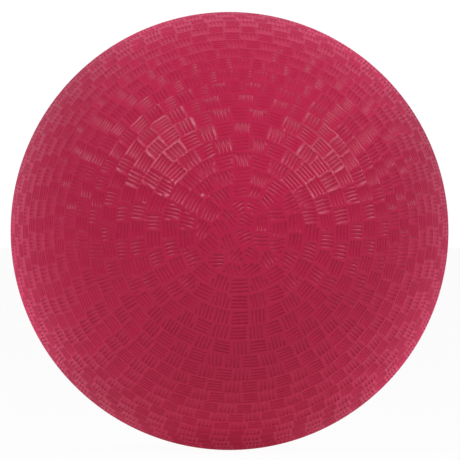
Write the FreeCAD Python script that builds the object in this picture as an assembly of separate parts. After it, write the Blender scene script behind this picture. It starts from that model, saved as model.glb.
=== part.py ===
"""Playground rubber ball: a moulded two-ply rubber cover over a thread-wound butyl bladder.

The ball's centre is the origin and +Z is up. The Y axis runs through both poles of the moulded
pattern: the plain pole is at -Y, and the inflation valve is in the pole at +Y. Millimetres.

From outside to inside the wall is: moulded cover, inner ply, nylon winding, bladder. Cover, inner
ply and bladder are each made of a front and a back cup, lapped and vulcanised together. The laps
are staggered, so that no two of them lie over each other. The valve's rubber body is bonded inside
the bladder over a reinforcing patch, and its neck passes out through every layer.
"""

import FreeCAD
import Part
import math
import os

# The ball's wall, from the outside in.
ball_diameter = 216.0
cover_thickness = 1.3
inner_ply_thickness = 0.6
winding_thickness = 0.4
bladder_thickness = 0.6

# Lapped joints: where each layer's outer seam runs, measured along the surface from the equator.
lap_width = 4.0
cover_joint_offset = 0.0
inner_ply_joint_offset = 14.0
bladder_joint_offset = -14.0

# Fine raised line left on the cover by the edge of the two mould halves.
mould_line_height = 0.2
mould_line_half_width = 0.7

# Raised lip of cover rubber round the valve's neck.
valve_lip_height = 0.3
valve_lip_width = 1.4

# Valve core: the soft plug that grips the inflating needle and shuts behind it.
needle_radius = 1.0
needle_guide_length = 9.0
funnel_radius = 1.6
funnel_depth = 0.8
core_head_radius = 3.0
core_head_thickness = 1.0
core_shank_radius = 2.1
core_bulb_radius = 3.2
core_bulb_length = 4.0
core_shoulder_length = 1.0
core_tail_length = 2.5
core_closed_length = 7.0

# Valve body: the firmer rubber housing that holds the core.
neck_wall = 1.6
stem_wall = 1.6
valve_face_recess = 0.3
flange_radius = 14.0
flange_thickness = 1.2
stem_end_chamfer = 0.8

# Fabric-reinforced ring between the valve's flange and the bladder.
patch_radius = 21.0
patch_thickness = 0.5

# Gap between the neck and the turns of thread that pass round it.
winding_neck_clearance = 0.5

# Places worked out from the sizes above.
cover_radius = ball_diameter / 2
inner_ply_radius = cover_radius - cover_thickness
winding_radius = inner_ply_radius - inner_ply_thickness
bladder_radius = winding_radius - winding_thickness
patch_outer_radius = bladder_radius - bladder_thickness
flange_outer_radius = patch_outer_radius - patch_thickness
flange_inner_radius = flange_outer_radius - flange_thickness
neck_radius = core_head_radius + neck_wall
stem_radius = core_bulb_radius + stem_wall
valve_face_y = math.sqrt(cover_radius**2 - neck_radius**2) - valve_face_recess
needle_guide_top_y = valve_face_y - funnel_depth
needle_guide_bottom_y = needle_guide_top_y - needle_guide_length
valve_end_y = needle_guide_bottom_y - core_closed_length
equator = math.pi / 2

# Points nearer to each other than this are one point.
same_point = 1e-6


def at(radius, angle):
    """Point on a sphere round the origin, at an angle from the -Y pole, in the profile plane."""
    return FreeCAD.Vector(radius * math.sin(angle), -radius * math.cos(angle), 0)


def angle_beside_valve(radius, distance):
    """Angle from the -Y pole at which a sphere passes the given distance from the valve's axis."""
    return math.pi - math.asin(distance / radius)


def arc(radius, start, end):
    """Arc of a sphere's profile between two angles from the -Y pole."""
    middle = (start + end) / 2
    return Part.Arc(at(radius, start), at(radius, middle), at(radius, end)).toShape()


def line(start, end):
    """Straight stretch of a profile."""
    return Part.LineSegment(start, end).toShape()


def path(points):
    """Straight stretches through (distance from the axis, height along Y) pairs."""
    vectors = [FreeCAD.Vector(x, y, 0) for x, y in points]
    return [line(a, b) for a, b in zip(vectors, vectors[1:])]


def turned(edges):
    """Solid made by turning a closed profile once round the Y axis."""
    profile = Part.Face(Part.Wire(edges))
    solid = profile.revolve(FreeCAD.Vector(0, 0, 0), FreeCAD.Vector(0, 1, 0), 360)
    if solid.Volume < 0:
        solid.reverse()
    return solid


def slope(foot, crest):
    """Straight side of a raised line, or nothing where its foot and crest are one point."""
    return [line(foot, crest)] if foot.distanceToPoint(crest) > same_point else []


def cup_pair(outer_radius, thickness, joint_offset, mould_line=(0.0, 0.0), valve_lip=(0.0, 0.0)):
    """Front and back cups of one layer, lapped at the joint. The back cup has the valve's hole.

    Each cup keeps half its thickness over the lap: the back cup's lip lies outside the front cup's.
    A raised line is given as its width on one side and its height.
    """
    line_width, line_height = mould_line
    lip_width, lip_height = valve_lip
    inner_radius = outer_radius - thickness
    lap_radius = outer_radius - thickness / 2
    joint = equator + joint_offset / outer_radius
    lap_end = joint + lap_width / outer_radius
    front_foot = joint - line_width / outer_radius
    back_foot = joint + line_width / outer_radius
    joint_crest = at(outer_radius + line_height, joint)
    front = turned(
        [arc(outer_radius, 0, front_foot)]
        + slope(at(outer_radius, front_foot), joint_crest)
        + [
            line(joint_crest, at(lap_radius, joint)),
            arc(lap_radius, joint, lap_end),
            line(at(lap_radius, lap_end), at(inner_radius, lap_end)),
            arc(inner_radius, lap_end, 0),
            line(at(inner_radius, 0), at(outer_radius, 0)),
        ]
    )
    lip_foot = angle_beside_valve(outer_radius, neck_radius + lip_width)
    lip_radius = outer_radius + lip_height
    lip_crest = at(lip_radius, angle_beside_valve(lip_radius, neck_radius))
    hole_inner = angle_beside_valve(inner_radius, neck_radius)
    back = turned(
        slope(joint_crest, at(outer_radius, back_foot))
        + [arc(outer_radius, back_foot, lip_foot)]
        + slope(at(outer_radius, lip_foot), lip_crest)
        + [
            line(lip_crest, at(inner_radius, hole_inner)),
            arc(inner_radius, hole_inner, lap_end),
            line(at(inner_radius, lap_end), at(lap_radius, lap_end)),
            arc(lap_radius, lap_end, joint),
            line(at(lap_radius, joint), joint_crest),
        ]
    )
    return front, back


def wound_layer():
    """The layer of nylon thread wound over the bladder, left open round the valve's neck."""
    hole_radius = neck_radius + winding_neck_clearance
    inner_radius = winding_radius - winding_thickness
    hole_outer = angle_beside_valve(winding_radius, hole_radius)
    hole_inner = angle_beside_valve(inner_radius, hole_radius)
    return turned(
        [
            arc(winding_radius, 0, hole_outer),
            line(at(winding_radius, hole_outer), at(inner_radius, hole_inner)),
            arc(inner_radius, hole_inner, 0),
            line(at(inner_radius, 0), at(winding_radius, 0)),
        ]
    )


def reinforcing_patch():
    """Ring of rubbered fabric bonded to the bladder's inner face round the valve's neck."""
    rim_outer = angle_beside_valve(patch_outer_radius, patch_radius)
    rim_inner = angle_beside_valve(flange_outer_radius, patch_radius)
    hole_outer = angle_beside_valve(patch_outer_radius, neck_radius)
    hole_inner = angle_beside_valve(flange_outer_radius, neck_radius)
    return turned(
        [
            arc(patch_outer_radius, rim_outer, hole_outer),
            line(at(patch_outer_radius, hole_outer), at(flange_outer_radius, hole_inner)),
            arc(flange_outer_radius, hole_inner, rim_inner),
            line(at(flange_outer_radius, rim_inner), at(patch_outer_radius, rim_outer)),
        ]
    )


def core_contour():
    """Outside of the valve core from its face to its tail, which is also the pocket in the body."""
    bulb_bottom_y = valve_end_y + core_tail_length + core_shoulder_length
    bulb_top_y = bulb_bottom_y + core_bulb_length
    return [
        (core_head_radius, valve_face_y),
        (core_head_radius, valve_face_y - core_head_thickness),
        (core_shank_radius, valve_face_y - core_head_thickness),
        (core_shank_radius, bulb_top_y + core_shoulder_length),
        (core_bulb_radius, bulb_top_y),
        (core_bulb_radius, bulb_bottom_y),
        (core_shank_radius, bulb_bottom_y - core_shoulder_length),
        (core_shank_radius, valve_end_y),
    ]


def valve_core():
    """Soft plug with a funnel and a needle guide. Below the guide its slit stands shut."""
    inside = [
        (0, valve_end_y),
        (0, needle_guide_bottom_y),
        (needle_radius, needle_guide_bottom_y),
        (needle_radius, needle_guide_top_y),
        (funnel_radius, valve_face_y),
    ]
    outside = core_contour()
    return turned(path(outside + inside + outside[:1]))


def valve_body():
    """Housing with a neck that reaches the cover's surface, a flange, and a stem inside the ball."""
    neck_foot = angle_beside_valve(flange_outer_radius, neck_radius)
    flange_edge_outer = angle_beside_valve(flange_outer_radius, flange_radius)
    flange_edge_inner = angle_beside_valve(flange_inner_radius, flange_radius)
    stem_top = angle_beside_valve(flange_inner_radius, stem_radius)
    pocket = core_contour()
    stem = [
        (stem_radius, at(flange_inner_radius, stem_top).y),
        (stem_radius, valve_end_y + stem_end_chamfer),
        (stem_radius - stem_end_chamfer, valve_end_y),
    ]
    neck = [
        pocket[0],
        (neck_radius, valve_face_y),
        (neck_radius, at(flange_outer_radius, neck_foot).y),
    ]
    flange = [
        arc(flange_outer_radius, neck_foot, flange_edge_outer),
        line(at(flange_outer_radius, flange_edge_outer), at(flange_inner_radius, flange_edge_inner)),
        arc(flange_inner_radius, flange_edge_inner, stem_top),
    ]
    return turned(path(neck) + flange + path(stem + pocket[::-1]))


def save(name, solid):
    """Writes one named part and prints what a maker would check on it."""
    if not solid.isValid() or len(solid.Solids) != 1:
        raise ValueError(name + " is not one valid solid")
    solid.exportStep("parts/" + name + ".step")
    box = solid.BoundBox
    sides = [round(s, 2) for s in (box.XLength, box.YLength, box.ZLength)]
    print(name, "volume cm3", round(solid.Volume / 1000, 2), "size", sides)


os.makedirs("parts", exist_ok=True)

cover_front, cover_back = cup_pair(
    cover_radius,
    cover_thickness,
    cover_joint_offset,
    mould_line=(mould_line_half_width, mould_line_height),
    valve_lip=(valve_lip_width, valve_lip_height),
)
inner_ply_front, inner_ply_back = cup_pair(
    inner_ply_radius, inner_ply_thickness, inner_ply_joint_offset
)
bladder_front, bladder_back = cup_pair(bladder_radius, bladder_thickness, bladder_joint_offset)

save("cover_front", cover_front)
save("cover_back", cover_back)
save("inner_ply_front", inner_ply_front)
save("inner_ply_back", inner_ply_back)
save("nylon_winding", wound_layer())
save("bladder_front", bladder_front)
save("bladder_back", bladder_back)
save("valve_patch", reinforcing_patch())
save("valve_body", valve_body())
save("valve_core", valve_core())
print("needle guide from y", needle_guide_bottom_y, "to", needle_guide_top_y)
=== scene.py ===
"""Playground ball: looks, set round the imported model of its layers.

Metres throughout. The ball's centre is the origin, +Z is up, the plain pole of the moulded
pattern is at -Y and the valve is at +Y. Sections follow the ball as it is built up, from the
bladder outwards. The studio comes last.
"""

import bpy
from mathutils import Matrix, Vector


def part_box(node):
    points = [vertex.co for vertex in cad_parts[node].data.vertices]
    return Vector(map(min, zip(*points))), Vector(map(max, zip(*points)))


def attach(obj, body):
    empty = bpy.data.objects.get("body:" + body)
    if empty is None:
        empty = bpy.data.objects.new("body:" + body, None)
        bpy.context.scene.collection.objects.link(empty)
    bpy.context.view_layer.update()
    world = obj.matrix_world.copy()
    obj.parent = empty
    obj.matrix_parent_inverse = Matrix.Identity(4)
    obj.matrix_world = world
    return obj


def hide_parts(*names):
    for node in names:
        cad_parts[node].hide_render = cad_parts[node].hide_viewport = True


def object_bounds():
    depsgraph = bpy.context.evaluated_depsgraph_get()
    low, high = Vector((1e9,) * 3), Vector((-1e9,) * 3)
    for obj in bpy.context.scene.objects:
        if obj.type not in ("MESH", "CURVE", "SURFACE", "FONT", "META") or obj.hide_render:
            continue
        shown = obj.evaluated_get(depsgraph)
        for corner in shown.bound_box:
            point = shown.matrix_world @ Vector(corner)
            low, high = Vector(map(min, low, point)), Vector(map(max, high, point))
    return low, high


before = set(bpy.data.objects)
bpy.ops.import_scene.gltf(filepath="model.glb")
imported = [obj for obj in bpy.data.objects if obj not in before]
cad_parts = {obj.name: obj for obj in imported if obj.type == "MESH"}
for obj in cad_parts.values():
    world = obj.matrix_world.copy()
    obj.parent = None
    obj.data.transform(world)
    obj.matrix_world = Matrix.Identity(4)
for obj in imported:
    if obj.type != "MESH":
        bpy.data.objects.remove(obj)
cad_box = [list(map(float, corner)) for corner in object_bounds()]

import math

import bpy
import numpy as np
from mathutils.geometry import delaunay_2d_cdt

# --- Bladder ------------------------------------------------------------------------------
# Two cups of thin butyl rubber, moulded, lapped and cured into one airtight skin. They are
# black, smooth and dusted with talc, so that they don't stick to the winding.

talc_colour = (0.16, 0.158, 0.152, 1)
butyl_colour = (0.012, 0.012, 0.014, 1)


def new_finish(name):
    """Material with a principled shader and its own object coordinates."""
    material = bpy.data.materials.new(name)
    material.use_nodes = True
    tree = material.node_tree
    place = tree.nodes.new("ShaderNodeTexCoord").outputs["Object"]
    return material, tree, tree.nodes["Principled BSDF"], place


def mottle(tree, place, size, detail=4.0, roughness=0.55):
    """Cloudy noise from 0 to 1, with blotches of about the given size."""
    noise = tree.nodes.new("ShaderNodeTexNoise")
    noise.inputs["Scale"].default_value = 1 / size
    noise.inputs["Detail"].default_value = detail
    noise.inputs["Roughness"].default_value = roughness
    tree.links.new(place, noise.inputs["Vector"])
    return noise.outputs["Fac"]


def graded(tree, value, low, high, start=0.35, end=0.65):
    """The value's stretch from start to end, spread over low to high."""
    spread = tree.nodes.new("ShaderNodeMapRange")
    spread.inputs["From Min"].default_value = start
    spread.inputs["From Max"].default_value = end
    spread.inputs["To Min"].default_value = low
    spread.inputs["To Max"].default_value = high
    tree.links.new(value, spread.inputs["Value"])
    return spread.outputs["Result"]


def blended(tree, share, first, second):
    """Colour that goes from first to second with the share. Each is a colour or a socket."""
    mix = tree.nodes.new("ShaderNodeMix")
    mix.data_type = "RGBA"
    tree.links.new(share, mix.inputs["Factor"])
    for socket, colour in ((mix.inputs[6], first), (mix.inputs[7], second)):
        if isinstance(colour, tuple):
            socket.default_value = colour
        else:
            tree.links.new(colour, socket)
    return mix.outputs[2]


def raised(tree, shader, height, distance, strength=1.0, under=None):
    """Bump from a height of 0 to 1, over any bump under it, put on the shader."""
    bump = tree.nodes.new("ShaderNodeBump")
    bump.inputs["Distance"].default_value = distance
    bump.inputs["Strength"].default_value = strength
    tree.links.new(height, bump.inputs["Height"])
    if under:
        tree.links.new(under, bump.inputs["Normal"])
    tree.links.new(bump.outputs["Normal"], shader.inputs["Normal"])
    return bump.outputs["Normal"]


def butyl_finish():
    """Black rubber with a cloudy film of talc, thicker in some places than in others."""
    material, tree, shader, place = new_finish("butyl_rubber")
    film = graded(tree, mottle(tree, place, 0.03, 6), 0.0, 0.45)
    tree.links.new(blended(tree, film, butyl_colour, talc_colour), shader.inputs["Base Color"])
    tree.links.new(graded(tree, mottle(tree, place, 0.012), 0.55, 0.85), shader.inputs["Roughness"])
    raised(tree, shader, mottle(tree, place, 0.0006), 0.00005)
    return material


def finished(node, material):
    """Gives a carried-over node its finish."""
    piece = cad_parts[node]
    piece.data.materials.clear()
    piece.data.materials.append(material)


butyl = butyl_finish()
finished("bladder_front", butyl)
finished("bladder_back", butyl)

# --- Valve patch --------------------------------------------------------------------------
# A ring of rubbered cotton, cemented to the inside of the bladder round the valve's neck. It
# spreads the pull of the needle. Its plain weave shows through the rubber.

cotton_colour = (0.34, 0.29, 0.2, 1)
# Painted shade for the hollows between the threads.
cotton_painted_shade = (0.2, 0.165, 0.11, 1)
weave_pitch = 0.0007


def threads(tree, place, direction, pitch):
    """Rounded ridges at the given pitch, lying across X, Y, Z or the diagonal."""
    wave = tree.nodes.new("ShaderNodeTexWave")
    wave.bands_direction = direction
    wave.inputs["Scale"].default_value = math.tau / 20 / pitch
    wave.inputs["Distortion"].default_value = 0.6
    wave.inputs["Detail"].default_value = 1.0
    tree.links.new(place, wave.inputs["Vector"])
    return wave.outputs["Fac"]


def product(tree, first, second):
    """First times second."""
    node = tree.nodes.new("ShaderNodeMath")
    node.operation = "MULTIPLY"
    tree.links.new(first, node.inputs[0])
    tree.links.new(second, node.inputs[1])
    return node.outputs[0]


def patch_finish():
    """Plain weave: two sets of threads that cross, with painted shade in the hollows between them.
    """
    material, tree, shader, place = new_finish("rubbered_cotton")
    weave = product(
        tree, threads(tree, place, "X", weave_pitch), threads(tree, place, "Z", weave_pitch)
    )
    # Painted shade: darker where the threads dip, in the hollows between them.
    colour = blended(tree, weave, cotton_painted_shade, cotton_colour)
    tree.links.new(colour, shader.inputs["Base Color"])
    shader.inputs["Roughness"].default_value = 0.9
    raised(tree, shader, weave, 0.00012)
    return material


finished("valve_patch", patch_finish())

# --- Valve body and core ------------------------------------------------------------------
# The body is a firm moulded housing whose flange is bonded inside the ball and whose neck
# comes out through every layer. The core is a softer plug that closes behind the needle. Both
# come out of a polished mould with a satin skin.

housing_colour = (0.018, 0.018, 0.02, 1)
housing_bloom = (0.04, 0.039, 0.041, 1)
core_colour = (0.05, 0.05, 0.054, 1)
core_bloom = (0.085, 0.084, 0.088, 1)


def moulded_black_finish(name, colour, bloom, polish):
    """Satin black rubber with a faint grey bloom."""
    material, tree, shader, place = new_finish(name)
    haze = graded(tree, mottle(tree, place, 0.004, 5), 0.0, 1.0)
    tree.links.new(blended(tree, haze, colour, bloom), shader.inputs["Base Color"])
    grain = mottle(tree, place, 0.0015)
    tree.links.new(graded(tree, grain, polish, polish + 0.15), shader.inputs["Roughness"])
    raised(tree, shader, mottle(tree, place, 0.0003), 0.00002)
    return material


finished("valve_body", moulded_black_finish("valve_rubber", housing_colour, housing_bloom, 0.36))
finished("valve_core", moulded_black_finish("core_rubber", core_colour, core_bloom, 0.42))

# --- Nylon winding ------------------------------------------------------------------------
# Thread wound over the bladder in great circles until it is covered, then brushed with
# rubber cement. It holds the ball round and stops it growing.

nylon_colour = (0.72, 0.69, 0.62, 1)
# Painted shade for the hollows between the turns.
nylon_painted_shade = (0.3, 0.27, 0.22, 1)
cement_colour = (0.5, 0.42, 0.3, 1)
thread_pitch = 0.0008
turns_on_top = (("Z", 0.03), ("Y", 0.042), ("DIAGONAL", 0.055))


def winding_finish():
    """Pale thread under uneven amber cement. The turns on top run another way in each place."""
    material, tree, shader, place = new_finish("wound_nylon")
    turns = threads(tree, place, "X", thread_pitch)
    for direction, area in turns_on_top:
        on_top = graded(tree, mottle(tree, place, area, 1), 0.0, 1.0, 0.49, 0.51)
        turns = blended(tree, on_top, turns, threads(tree, place, direction, thread_pitch))
    # Painted shade: the thread is darker in the hollows between the turns.
    nylon = blended(tree, turns, nylon_painted_shade, nylon_colour)
    cement = graded(tree, mottle(tree, place, 0.02, 6), 0.0, 0.7)
    tree.links.new(blended(tree, cement, nylon, cement_colour), shader.inputs["Base Color"])
    tree.links.new(graded(tree, mottle(tree, place, 0.01), 0.45, 0.8), shader.inputs["Roughness"])
    raised(tree, shader, turns, 0.00015)
    return material


finished("nylon_winding", winding_finish())

# --- Inner ply ----------------------------------------------------------------------------
# Two cups of calendered rubber sheet between the winding and the cover. The sheet keeps the
# fine marks of the cloth that it was rolled up in.

ply_colour = (0.24, 0.022, 0.034, 1)
ply_shade = (0.17, 0.014, 0.022, 1)
cloth_pitch = 0.0009


def ply_finish():
    """Matte red-brown rubber with a faint cloth print."""
    material, tree, shader, place = new_finish("ply_rubber")
    cloud = graded(tree, mottle(tree, place, 0.02, 5), 0.0, 1.0)
    tree.links.new(blended(tree, cloud, ply_shade, ply_colour), shader.inputs["Base Color"])
    shader.inputs["Roughness"].default_value = 0.8
    cloth = product(
        tree, threads(tree, place, "X", cloth_pitch), threads(tree, place, "Z", cloth_pitch)
    )
    raised(tree, shader, cloth, 0.00005)
    return material


ply = ply_finish()
finished("inner_ply_front", ply)
finished("inner_ply_back", ply)

# --- Cover, front half --------------------------------------------------------------------
# The outer ply is pressed into a mould whose two halves are engraved with a basket weave:
# rings of small square patches, with the grooves of each patch running across those of its
# neighbours. The mould's edge leaves a fine raised line round the ball's waist.

front_low, front_high = (np.array(corner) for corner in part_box("cover_front"))
ball_radius = -front_low[1]
mould_line_height = front_high[0] - ball_radius
ply_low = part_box("inner_ply_front")[0]
cover_inside = -ply_low[1]
lap_radius = (ball_radius + cover_inside) / 2
lap_angle = math.asin(front_high[1] / lap_radius)
waist = math.pi / 2

mould_line_half_width = 0.0007
mould_line_angle = mould_line_half_width / ball_radius
waist_segments = 240
inside_rows = 22

groove_pitch = 0.00182
groove_width = 0.00122
groove_depth = 0.00047
groove_tip = 0.0003
floor_width = 0.0006
floor_share = 0.72
floor_inset = 0.0002
bottom_inset = 0.0006
shortest_groove = 0.0016
most_grooves = 7
mouth_points = 6
groove_points = 14

# Towards the waist the grooves are only this share as deep. The two cosines of the angle from
# the pole say where they stop growing shallower and where they start to.
waist_depth = 0.6
shallow_between = (0.15, 0.75)

# Land left beside a patch's outer grooves and beyond its grooves' ends.
land_beside = 0.00018
land_beyond = 0.00034

# How unevenly the mould was cut: share of the pitch and depth, length at a groove's end, and
# degrees, for the patches of the inner and outer rings and for a whole ring.
pitch_scatter = 0.025
depth_scatter = 0.06
end_scatter = 0.0002
patch_scatter = (7, 2.5)
ring_scatter = 1.5

# The rings of patches reach from the pole's zone to the waist. Patches are wider near the pole.
pole_zone = math.radians(12.0)
pattern_end = math.radians(89.4)
front_rings = 18
widest_patch = 0.009
narrowest_patch = 0.0075
front_swap = 7
uneven_rings = 9
ring_top = math.radians(89)

# The points on a circle between two rings start this share of their step round it.
circle_start = 0.37

front_axes = np.array([(0.0, -1.0, 0.0), (1.0, 0.0, 0.0), (0.0, 0.0, 1.0)])

# The pole's patches were cut one by one. Each is its place right of and above the pole, in
# millimetres, and its grooves' slope in degrees.
pole_patches = np.array(
    [
        (2.6, 5.2, -25), (6.2, 11.6, -22), (-1.6, 11.4, 32), (-5.3, 6.6, -48), (-9.6, 1.4, -58),
        (-6.4, -5.2, -68), (1.2, -3.4, 24), (9.6, 3.6, 86), (9.2, -5.0, 0), (4.9, -11.2, -32),
        (-2.4, -12.0, 52), (-13.8, -4.4, -44), (-0.8, 19.0, 8), (6.6, 18.9, 70), (13.0, 14.6, -50),
        (16.6, 8.0, 4), (17.6, 0.6, 88), (17.0, -6.8, 12), (12.9, -13.4, -62), (5.2, -18.6, 38),
        (-4.6, -18.9, -70), (-12.4, -15.2, 0), (-18.2, -8.8, -40), (-18.6, 0.0, 62),
        (-14.6, 9.4, 66), (-8.6, 16.4, -50),
    ]
)


def ring_counts(start, rings):
    """How many patches each ring holds, from the start angle to the pattern's end.

    It is the even number nearest to the ring's length over a patch's width, so that patches
    turned both ways can take turns all round it. The width narrows evenly towards the waist.
    """
    middle = start + (pattern_end - start) * (np.arange(rings) + 0.5) / rings
    width = np.interp(middle, (start, pattern_end), (widest_patch, narrowest_patch))
    return 2 * np.round(math.pi * ball_radius * np.sin(middle) / width).astype(int)


front_counts = ring_counts(pole_zone, front_rings)


def places_on_ball(angle, bearing, axes):
    """Directions at angles from the pole and bearings round it, with both tangents.

    The tangents run away from the pole and round it, so away, round and out are right-handed.
    """
    pole, right, up = axes
    level = np.cos(bearing)[..., None] * right + np.sin(bearing)[..., None] * up
    out = np.cos(angle)[..., None] * pole + np.sin(angle)[..., None] * level
    away = np.cos(angle)[..., None] * level - np.sin(angle)[..., None] * pole
    around = np.cos(bearing)[..., None] * up - np.sin(bearing)[..., None] * right
    return out, away, around


def ring_patches(start, number, swap, axes, draw):
    """Patches in rings from the start angle to the pattern's end, so many in each ring.

    They are turned alternately round and across their ring, and the next ring starts the other
    way, but for one swap. The inner rings have like patches side by side at two places. Each
    patch is walled in by its ring's two circles and by the bearings half-way to its neighbours.
    """
    count = len(number)
    step = (pattern_end - start) / count
    middle = start + step * (np.arange(count) + 0.5)
    ring = np.repeat(np.arange(count), number)
    place = np.arange(len(ring)) - np.repeat(np.cumsum(number) - number, number)
    spacing = math.tau / number[ring]
    first, second = (number * (0.1 + 0.4 * draw.random((2, count)) + [[0], [0.4]])).astype(int)
    first = np.where(np.arange(count) < uneven_rings, first, number)
    turned_over = (place > first[ring]) & (place <= second[ring])
    across = (place + ring + (ring >= swap) + turned_over) % 2
    top = ring_top + np.radians(draw.normal(0, ring_scatter, count))
    angle = middle[ring]
    bearing = top[ring] + place * spacing
    unruly = np.interp(angle, (start, start + 4 * step), patch_scatter)
    turn = np.radians(90 * (1 - across) + draw.normal(0, 1, len(ring)) * unruly)
    lean = np.cos(angle) * spacing / 2
    length = np.hypot(lean, 1)
    side = ball_radius * np.sin(angle) * spacing / 2 / length
    walls = np.zeros((len(ring), 4, 3))
    walls[:, 0] = (1, 0, ball_radius * step / 2)
    walls[:, 1] = (-1, 0, ball_radius * step / 2)
    walls[:, 2] = np.stack([-lean / length, 1 / length, side], axis=1)
    walls[:, 3] = np.stack([-lean / length, -1 / length, side], axis=1)
    room = np.where(across, 2 * side * length, ball_radius * step)
    return places_on_ball(angle, bearing, axes), turn, walls, room


def ring_walls(start, number, axes):
    """Directions along the circles between the rings, two for each patch beside them."""
    count = len(number)
    step = (pattern_end - start) / count
    beside = 2 * np.maximum(np.append(number, number[-1]), np.append(number[0], number))
    circle = np.repeat(np.arange(count + 1), beside)
    place = np.arange(len(circle)) - np.repeat(np.cumsum(beside) - beside, beside)
    bearing = (place + circle_start) * math.tau / beside[circle]
    return places_on_ball(start + step * circle, bearing, axes)[0]


def hand_cut_patches(patches, zone, axes):
    """Patches at chosen places round the pole, each walled in half-way to every other one."""
    spot = patches[:, :2] / 1000
    bearing = np.arctan2(spot[:, 1], spot[:, 0])
    reach = np.hypot(*spot.T)
    gap = spot[None] - spot[:, None]
    distance = np.hypot(gap[..., 0], gap[..., 1])
    heading = np.arctan2(gap[..., 1], gap[..., 0]) - bearing[:, None]
    itself = np.eye(len(spot), dtype=bool)
    half = np.where(itself, ball_radius * zone - reach[:, None], distance / 2)
    heading = np.where(itself, 0, heading)
    walls = np.stack([np.cos(heading), np.sin(heading), half], axis=-1)
    turn = np.radians(patches[:, 2]) - bearing
    room = np.full(len(spot), most_grooves * groove_pitch)
    return places_on_ball(reach / ball_radius, bearing, axes), turn, walls, room


def cut_grooves(patches, draw):
    """Fourteen points for each groove of each patch: mouth, floor and bottom line.

    In a patch's own plane a groove is a straight line at a multiple of the pitch from the
    middle. Every wall cuts it off, less the land left beside and beyond it. The mouth and the
    floor are long hexagons, the floor smaller and deeper, and the bottom is one line. Grooves
    are cut shallower towards the waist, or the ball would stick in its mould.
    """
    (out, away, around), turn, walls, room = patches
    pitch = groove_pitch * (1 + draw.normal(0, pitch_scatter, len(turn)))
    fitting = np.floor((room - 2 * land_beside - groove_width) / pitch) + 1
    fitting = np.clip(fitting, 1, most_grooves)
    row = np.arange(most_grooves)
    offset = (row - (fitting[:, None] - 1) / 2) * pitch[:, None]
    along = np.stack([np.cos(turn), np.sin(turn)], axis=1)
    cross = np.stack([-np.sin(turn), np.cos(turn)], axis=1)
    run = np.einsum("pwk,pk->pw", walls[..., :2], along)
    rise = np.einsum("pwk,pk->pw", walls[..., :2], cross)
    land = land_beside + (land_beyond - land_beside) * np.abs(run)
    left = (walls[..., 2] - land - groove_width / 2 * np.abs(rise))[:, None, :]
    left = left - offset[..., None] * rise[:, None, :]
    run = np.broadcast_to(run[:, None, :], left.shape)
    slack = np.abs(run) < 1e-6
    limit = left / np.where(slack, 1, run)
    end = np.where(~slack & (run > 0), limit, np.inf).min(axis=-1)
    start = np.where(~slack & (run < 0), limit, -np.inf).max(axis=-1)
    end = end - draw.random(end.shape) * end_scatter
    start = start + draw.random(end.shape) * end_scatter
    shut = (slack & (left < 0)).any(axis=-1)
    kept = (end - start > shortest_groove) & ~shut & (row < fitting[:, None])
    patch, number = np.nonzero(kept)
    half = (end - start)[kept] / 2
    middle = (end + start)[kept] / 2
    aside = offset[kept]

    hexagon_end = np.array([-1, -1, 1, 1, 1, -1])
    hexagon_side = np.array([0, -1, -1, 0, 1, 1])
    hexagon_tip = np.array([0, 1, 1, 0, 1, 1]) * groove_tip
    ends = np.concatenate([hexagon_end, hexagon_end, [-1, 1]])
    insets = np.concatenate(
        [hexagon_tip, hexagon_tip * floor_width / groove_width + floor_inset, [bottom_inset] * 2]
    )
    sides = np.concatenate(
        [hexagon_side * groove_width / 2, hexagon_side * floor_width / 2, [0, 0]]
    )
    depths = np.repeat([0, floor_share, 1], (6, 6, 2)) * groove_depth
    forward = middle[:, None] + ends * (half[:, None] - insets)
    sideways = aside[:, None] + sides
    local = forward[..., None] * along[patch, None] + sideways[..., None] * cross[patch, None]
    towards = (
        out[patch, None]
        + local[..., :1] / ball_radius * away[patch, None]
        + local[..., 1:] / ball_radius * around[patch, None]
    )
    towards /= np.linalg.norm(towards, axis=-1, keepdims=True)
    draft = np.interp(np.abs(out[patch, 1]), shallow_between, (waist_depth, 1))
    depth = depths * (draft * (1 + draw.normal(0, depth_scatter, len(patch))))[:, None]
    return towards, depth


def groove_faces(count):
    """Walls and floor of each groove, as triangles and quads of its own fourteen points."""
    mouth = np.arange(mouth_points)
    after = (mouth + 1) % mouth_points
    walls = np.stack([mouth, after, after + mouth_points, mouth + mouth_points], axis=1)
    floor = np.array([(7, 8, 13, 12), (10, 11, 12, 13)])
    quads = np.concatenate([walls, floor])
    triangles = np.array([(6, 7, 12), (11, 6, 12), (8, 9, 13), (9, 10, 13)])
    first = groove_points * np.arange(count)[:, None, None]
    return (first + triangles).reshape(-1, 3), (first + quads).reshape(-1, 4)


def turned_skin(profile, segments, axes):
    """Rows of points about the pole, one for each (radius, angle) of the profile, and quads."""
    profile = np.asarray(profile)
    bearing = np.arange(segments) * math.tau / segments
    angle, bearing = np.broadcast_arrays(profile[:, 1:], bearing)
    out, away, around = places_on_ball(angle, bearing, axes)
    points = out * profile[:, 0, None, None]
    row = np.arange(len(profile) - 1)[:, None] * segments
    here = np.arange(segments)
    after = (here + 1) % segments
    quads = np.stack(
        [row + here, row + here + segments, row + after + segments, row + after], axis=-1
    )
    return points.reshape(-1, 3), quads.reshape(-1, 4)


def land_between(towards, outlines, axes):
    """Triangles that fill the skin between the outlines. They don't cover the outlines.

    The directions are laid flat by their angle from the pole and their bearing round it. The
    outermost points are the rim of the skin.
    """
    pole, right, up = axes
    angle = np.arccos(np.clip(towards @ pole, -1, 1))
    bearing = np.arctan2(towards @ up, towards @ right)
    flat = angle[:, None] * np.stack([np.cos(bearing), np.sin(bearing)], axis=1)
    made, _, faces, origin, _, inside = delaunay_2d_cdt(flat.tolist(), [], outlines, 0, 1e-9, True)
    if len(made) != len(flat):
        raise ValueError("two grooves cross each other")
    faces = np.array(faces)[[not covered for covered in inside]]
    return np.array([first[0] for first in origin])[faces]


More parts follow.
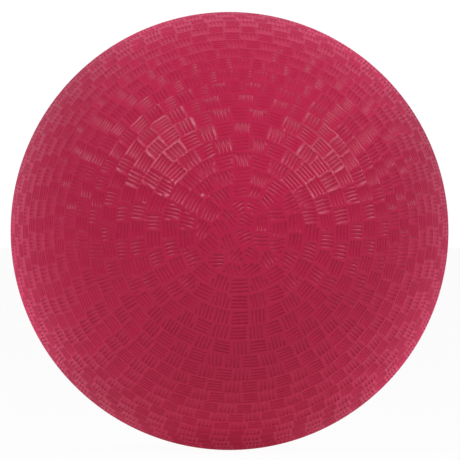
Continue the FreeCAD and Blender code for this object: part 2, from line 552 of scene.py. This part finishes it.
def groove_depth_at(mesh, depth):
    """Keeps how deep each point lies in its groove, from 0 on the land to 1 at the bottom.

    The grooves' points are the first in the mesh, and every other point is on the land.
    """
    layer = mesh.attributes.new("groove_depth", "FLOAT", "POINT")
    share = np.zeros(len(mesh.vertices), np.float32)
    share[: len(depth)] = depth / groove_depth
    layer.data.foreach_set("value", share)


def new_piece(name, points, faces, sharp=60):
    """Object at the origin with its shape in its mesh, smooth but for its sharp edges."""
    mesh = bpy.data.meshes.new(name)
    mesh.from_pydata(points.tolist(), [], faces)
    mesh.validate()
    mesh.shade_smooth()
    mesh.set_sharp_from_angle(angle=math.radians(sharp))
    piece = bpy.data.objects.new(name, mesh)
    bpy.context.collection.objects.link(piece)
    return piece


def mould_line_and_lap(lap_end):
    """Profile over the mould line's crest, in to the lap, and along it to the given angle."""
    crest = ball_radius + mould_line_height
    return [
        (ball_radius, waist - mould_line_angle),
        (ball_radius + 0.6 * mould_line_height, waist - 0.6 * mould_line_angle),
        (crest, waist - 0.2 * mould_line_angle),
        (crest, waist),
        (lap_radius, waist),
        (lap_radius, lap_end),
    ]


def front_shell():
    """Front cup: the mould line, the lap over the waist, the inside and its closed pole."""
    inside = np.linspace(waist + lap_angle, 0, inside_rows + 1)[:-1]
    profile = mould_line_and_lap(waist + lap_angle) + [(cover_inside, angle) for angle in inside]
    points, quads = turned_skin(profile, waist_segments, front_axes)
    here = np.arange(waist_segments) + len(points) - waist_segments
    fan = np.stack([here, np.full(waist_segments, len(points)), np.roll(here, -1)], axis=1)
    points = np.vstack([points, cover_inside * front_axes[0]])
    return points, fan, quads


def moulded_skin(grooves, shell, inner_rims, between, axes):
    """Joins the grooves, a shell and the land between them into one closed skin.

    The land reaches from the shell's inner rims, whose first points are given, to its outer rim,
    which is its first row. It also passes through the directions between the rings.
    """
    towards, depth = grooves
    shell_points, shell_triangles, shell_quads = shell
    count = len(towards)
    first = groove_points * count
    around = np.arange(waist_segments)
    mouths = (groove_points * np.arange(count)[:, None] + np.arange(mouth_points)).reshape(-1)
    flats = np.arange(len(between)) + first + len(shell_points)
    rims = [first + start + around for start in inner_rims + [0]]
    used = np.concatenate([mouths] + rims + [flats])
    cut = (towards * (ball_radius - depth)[..., None]).reshape(-1, 3)
    points = np.vstack([cut, shell_points, between * ball_radius])
    flat_points = points[used] / np.linalg.norm(points[used], axis=1, keepdims=True)
    outlines = np.arange(len(mouths)).reshape(-1, mouth_points).tolist()
    for row in range(len(inner_rims)):
        outlines.append((len(mouths) + row * waist_segments + around).tolist())
    land = used[land_between(flat_points, outlines, axes)]
    triangles, quads = groove_faces(count)
    triangles = np.vstack([land, triangles, shell_triangles + first])
    quads = np.vstack([quads, shell_quads + first])
    return points, triangles.tolist() + quads.tolist()


def cover_front_piece():
    """Front cup, with its hand-cut patches round the pole and its rings of patches."""
    draw = np.random.default_rng(11)
    cuts = [
        cut_grooves(hand_cut_patches(pole_patches, pole_zone, front_axes), draw),
        cut_grooves(ring_patches(pole_zone, front_counts, front_swap, front_axes, draw), draw),
    ]
    towards = np.concatenate([cut[0] for cut in cuts])
    depth = np.concatenate([cut[1] for cut in cuts])
    between = ring_walls(pole_zone, front_counts, front_axes)
    skin = moulded_skin((towards, depth), front_shell(), [], between, front_axes)
    piece = new_piece("cover_front_moulded", *skin)
    groove_depth_at(piece.data, depth.reshape(-1))
    return piece


rubber_colour = (0.422, 0.0104, 0.054, 1)
rubber_light = (0.445, 0.013, 0.0605, 1)
# Painted shade: the colour at the bottoms of the grooves.
rubber_groove_shade = (0.402, 0.0093, 0.0505, 1)


def cover_finish():
    """Crimson rubber, cloudy in tone, with painted shade in the grooves and a fine mould grain."""
    material, tree, shader, place = new_finish("moulded_crimson_rubber")
    cloud = graded(tree, mottle(tree, place, 0.035, 5), 0.0, 1.0)
    skin = blended(tree, cloud, rubber_colour, rubber_light)
    # Painted shade: the colour darkens with the depth in the groove, where the grooves would be
    # shaded.
    painted_shade_depth = tree.nodes.new("ShaderNodeAttribute")
    painted_shade_depth.attribute_name = "groove_depth"
    share = graded(tree, painted_shade_depth.outputs["Fac"], 0.0, 0.6, 0.0, 1.0)
    tree.links.new(blended(tree, share, skin, rubber_groove_shade), shader.inputs["Base Color"])
    polish = mottle(tree, place, 0.006, 3)
    tree.links.new(graded(tree, polish, 0.26, 0.36), shader.inputs["Roughness"])
    shader.inputs["IOR"].default_value = 1.5
    shader.inputs["Specular IOR Level"].default_value = 0.2
    shader.inputs["Sheen Weight"].default_value = 1.0
    shader.inputs["Sheen Roughness"].default_value = 0.5
    shader.inputs["Sheen Tint"].default_value = (1, 0.06, 0.22, 1)
    wear = raised(tree, shader, mottle(tree, place, 0.004, 3), 0.00005)
    raised(tree, shader, mottle(tree, place, 0.0004), 0.000012, under=wear)
    return material


crimson = cover_finish()
cover_front = cover_front_piece()
cover_front.data.materials.append(crimson)
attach(cover_front, "root")
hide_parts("cover_front")

# --- Cover, back half ---------------------------------------------------------------------
# The other half of the mould has the same weave round a plain disc, where the valve comes
# out. A low rib edges the disc and a lip of rubber stands round the valve's neck.

back_axes = np.array([(0.0, 1.0, 0.0), (-1.0, 0.0, 0.0), (0.0, 0.0, 1.0)])
back_low, back_high = (np.array(corner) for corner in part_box("cover_back"))
neck_radius = 0.0046
lip_width = 0.0014
lip_height = math.hypot(back_high[1], neck_radius) - ball_radius
disc_radius = 0.0118
rib_width = 0.0009
rib_height = 0.0003
rib_margin = 0.0004
back_rings = 19
back_swap = 5
back_start = (disc_radius + rib_width + rib_margin) / ball_radius
back_counts = ring_counts(back_start, back_rings)


def back_shell():
    """Back cup from the waist inwards: mould line, lap, inside, the neck's hole, lip and disc."""
    inside = np.linspace(waist - lap_angle, math.asin(neck_radius / cover_inside), inside_rows)

    def beside(height, distance):
        """Point at a height over the ball's skin and a distance from the valve's axis."""
        return (ball_radius + height, math.asin(distance / (ball_radius + height)))

    profile = mould_line_and_lap(waist - lap_angle) + [(cover_inside, angle) for angle in inside]
    profile += [
        beside(lip_height, neck_radius),
        beside(0.9 * lip_height, neck_radius + 0.3 * lip_width),
        beside(0.35 * lip_height, neck_radius + 0.7 * lip_width),
        beside(0.0, neck_radius + lip_width),
        beside(0.0, disc_radius),
        beside(0.8 * rib_height, disc_radius + 0.3 * rib_width),
        beside(rib_height, disc_radius + 0.5 * rib_width),
        beside(0.8 * rib_height, disc_radius + 0.7 * rib_width),
        beside(0.0, disc_radius + rib_width),
    ]
    points, quads = turned_skin(profile, waist_segments, back_axes)
    return points, np.zeros((0, 3), int), quads


def cover_back_piece():
    """Back cup, with rings of patches round the plain disc."""
    draw = np.random.default_rng(23)
    patches = ring_patches(back_start, back_counts, back_swap, back_axes, draw)
    towards, depth = cut_grooves(patches, draw)
    shell = back_shell()
    disc_rim = len(shell[0]) - waist_segments
    between = ring_walls(back_start, back_counts, back_axes)
    skin = moulded_skin((towards, depth), shell, [disc_rim], between, back_axes)
    piece = new_piece("cover_back_moulded", *skin)
    groove_depth_at(piece.data, depth.reshape(-1))
    return piece


cover_back = cover_back_piece()
cover_back.data.materials.append(crimson)
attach(cover_back, "root")
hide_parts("cover_back")

# --- Studio -------------------------------------------------------------------------------
# A broad pale floor under the ball and white all round it, with two soft boxes above the camera
# to the left and right. The floor near the ball has a reddish glow, for the red that a pale
# table throws back at it.

floor_rows = np.array([0.5, 4.0, 40.0])
floor_segments = 96
floor_colour = (0.6, 0.6, 0.6, 1)
floor_glow = 0.955
table_glow = 0.32
table_red = (1, 0.5, 0.64, 1)
red_fades_between = (0.15, 0.5)


def floor_piece():
    """A wide flat disc under the ball's lowest point, which the camera sees as nearly white."""
    mesh = bpy.data.meshes.new("studio_floor")
    here = np.arange(floor_segments)
    after = (here + 1) % floor_segments
    bearing = here * math.tau / floor_segments
    rows = floor_rows[:, None]
    level = np.full((len(rows), floor_segments), cad_box[0][2])
    points = np.stack([rows * np.cos(bearing), rows * np.sin(bearing), level], axis=-1)
    row = np.arange(len(rows) - 1)[:, None] * floor_segments
    next_row = row + floor_segments
    quads = np.stack([row + here, next_row + here, next_row + after, row + after], axis=-1)
    faces = [here.tolist()] + quads.reshape(-1, 4).tolist()
    mesh.from_pydata(points.reshape(-1, 3).tolist(), [], faces)
    floor = bpy.data.objects.new("studio_floor", mesh)
    bpy.context.collection.objects.link(floor)
    material, tree, shader, place = new_finish("pale_floor")
    shader.inputs["Base Color"].default_value = floor_colour
    shader.inputs["Roughness"].default_value = 0.9
    shader.inputs["Emission Color"].default_value = table_red
    reach = tree.nodes.new("ShaderNodeVectorMath")
    reach.operation = "LENGTH"
    tree.links.new(place, reach.inputs[0])
    red_there = graded(tree, reach.outputs["Value"], table_glow, 0.0, *red_fades_between)
    tree.links.new(red_there, shader.inputs["Emission Strength"])
    glow = tree.nodes.new("ShaderNodeEmission")
    glow.inputs["Color"].default_value = (1, 1, 1, 1)
    path = tree.nodes.new("ShaderNodeLightPath")
    share = graded(tree, path.outputs["Is Camera Ray"], 0.0, floor_glow, 0.0, 1.0)
    mix = tree.nodes.new("ShaderNodeMixShader")
    tree.links.new(share, mix.inputs["Fac"])
    tree.links.new(shader.outputs["BSDF"], mix.inputs[1])
    tree.links.new(glow.outputs["Emission"], mix.inputs[2])
    tree.links.new(mix.outputs["Shader"], tree.nodes["Material Output"].inputs["Surface"])
    mesh.materials.append(material)
    return floor


floor_piece()


def soft_box(name, place, size, power):
    """Square area light that faces the ball's centre."""
    light = bpy.data.lights.new(name, "AREA")
    light.shape = "SQUARE"
    light.size = size
    light.energy = power
    lamp = bpy.data.objects.new(name, light)
    lamp.location = place
    lamp.rotation_mode = "QUATERNION"
    lamp.rotation_quaternion = (-lamp.location).to_track_quat("-Z", "Y")
    bpy.context.collection.objects.link(lamp)


box_side = 0.6
soft_box("left_box", (-1.05, -1.1, 1.3), box_side, 20.5)
soft_box("right_box", (1.4, -0.9, 1.1), box_side, 17.5)

air_strength = (0.25, 0.66)
white_seen = 1.02


def studio_air():
    """White all round. As light, it is over twice as bright from behind the ball as in front."""
    world = bpy.data.worlds.new("studio_air")
    bpy.context.scene.world = world
    world.use_nodes = True
    tree = world.node_tree
    sky = tree.nodes["Background"]
    sky.inputs["Color"].default_value = (1, 1, 1, 1)
    direction = tree.nodes.new("ShaderNodeTexCoord")
    parts = tree.nodes.new("ShaderNodeSeparateXYZ")
    tree.links.new(direction.outputs["Generated"], parts.inputs["Vector"])
    light = graded(tree, parts.outputs["Y"], *air_strength, 0.0, 1.0)
    tree.links.new(light, sky.inputs["Strength"])
    seen = tree.nodes.new("ShaderNodeBackground")
    seen.inputs["Color"].default_value = (1, 1, 1, 1)
    seen.inputs["Strength"].default_value = white_seen
    path = tree.nodes.new("ShaderNodeLightPath")
    mix = tree.nodes.new("ShaderNodeMixShader")
    tree.links.new(path.outputs["Is Camera Ray"], mix.inputs["Fac"])
    tree.links.new(sky.outputs["Background"], mix.inputs[1])
    tree.links.new(seen.outputs["Background"], mix.inputs[2])
    tree.links.new(mix.outputs["Shader"], tree.nodes["World Output"].inputs["Surface"])


studio_air()
bpy.context.scene.view_settings.view_transform = "Standard"

# The ball's radius takes up the given share of the view's width.
camera_distance = 30 * ball_radius
camera_bearing = math.radians(2.95)
ball_in_view = 0.475652
sensor_width = 0.036

half_view = math.asin(ball_radius / camera_distance)
lens = ball_in_view * sensor_width / math.tan(half_view)
camera_data = bpy.data.cameras.new("camera")
camera_data.sensor_width = sensor_width * 1000
camera_data.lens = lens * 1000
camera_data.shift_x = 0.0006
camera_data.shift_y = 0.0022
camera_data.clip_start = 0.1
camera_data.clip_end = 100
camera = bpy.data.objects.new("camera", camera_data)
camera.location = (
    -camera_distance * math.sin(camera_bearing),
    -camera_distance * math.cos(camera_bearing),
    0,
)
camera.rotation_mode = "QUATERNION"
camera.rotation_quaternion = (-camera.location).to_track_quat("-Z", "Y")
bpy.context.collection.objects.link(camera)
bpy.context.scene.camera = camera
